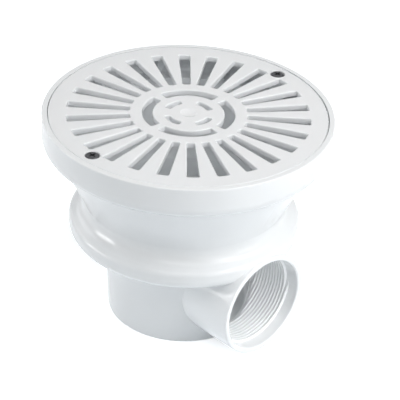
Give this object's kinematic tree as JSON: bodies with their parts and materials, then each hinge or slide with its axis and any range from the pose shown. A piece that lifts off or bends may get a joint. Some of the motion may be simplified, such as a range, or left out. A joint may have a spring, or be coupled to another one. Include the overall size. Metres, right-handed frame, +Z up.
{
  "type": "pool main drain",
  "caption": "Round pool main drain: slotted flat grate screwed into a moulded sump with a funnel, a casting flange, a cup and a threaded side outlet.",
  "frame": {"origin": "centre of the cup's flat foot", "axes": "+Z up along the sump's axis towards the grate, +X along the outlet's axis, out of its mouth"},
  "size_m": [0.178, 0.178, 0.138],
  "materials": {
    "body_plastic": "satin white moulded ABS",
    "grate_plastic": "satin white moulded ABS",
    "stainless_steel": "dull stainless steel",
    "brass": "turned brass"
  },
  "bodies": {
    "root": {"sump_body": "body_plastic", "grate": "grate_plastic", "grate_screws": "stainless_steel", "screw_inserts": "brass"}
  },
  "joints": []
}
